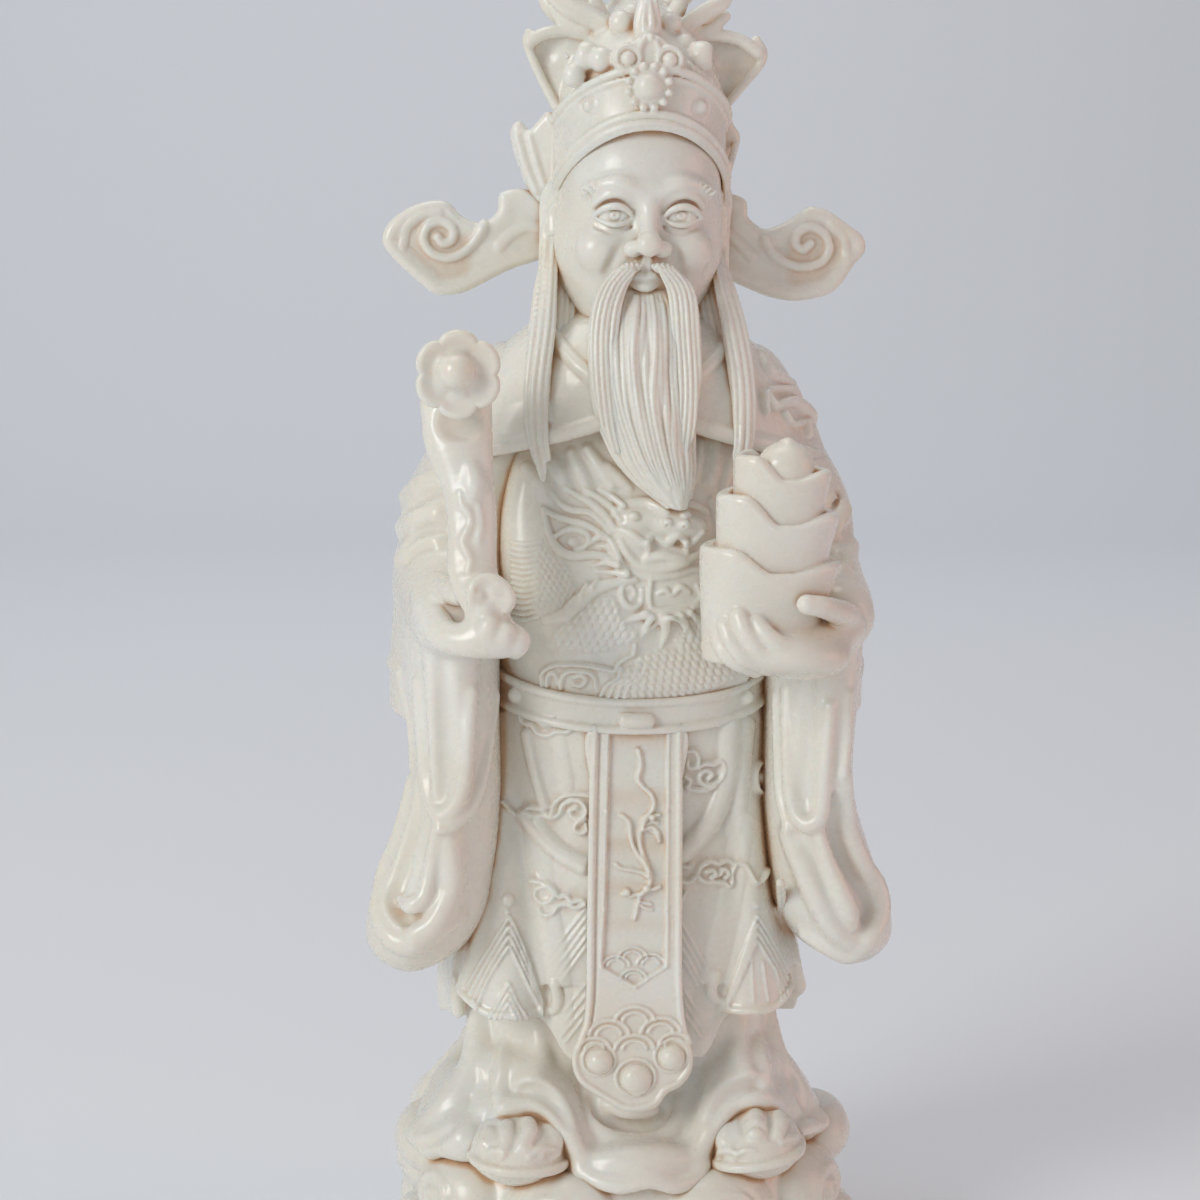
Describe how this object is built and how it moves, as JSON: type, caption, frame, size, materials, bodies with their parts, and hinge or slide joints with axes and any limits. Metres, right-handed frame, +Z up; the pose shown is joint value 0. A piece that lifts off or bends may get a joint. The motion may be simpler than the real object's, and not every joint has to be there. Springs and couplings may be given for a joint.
{
  "type": "caishen figure",
  "caption": "Standing wealth-god figure in official's hat and belted robe, holding a ruyi sceptre and a stack of ingots, moulded with its base.",
  "frame": {"origin": "on the flat underside of the base, below the middle of the figure", "axes": "+Z up, -Y the way the figure faces, +X towards the hand that holds the ingots"},
  "size_m": [0.081, 0.069, 0.2],
  "materials": {
    "ivory_resin": "glossy ivory-white cast resin, slightly translucent, warmer in the hollows"
  },
  "bodies": {
    "root": {"figure": "ivory_resin"}
  },
  "joints": []
}
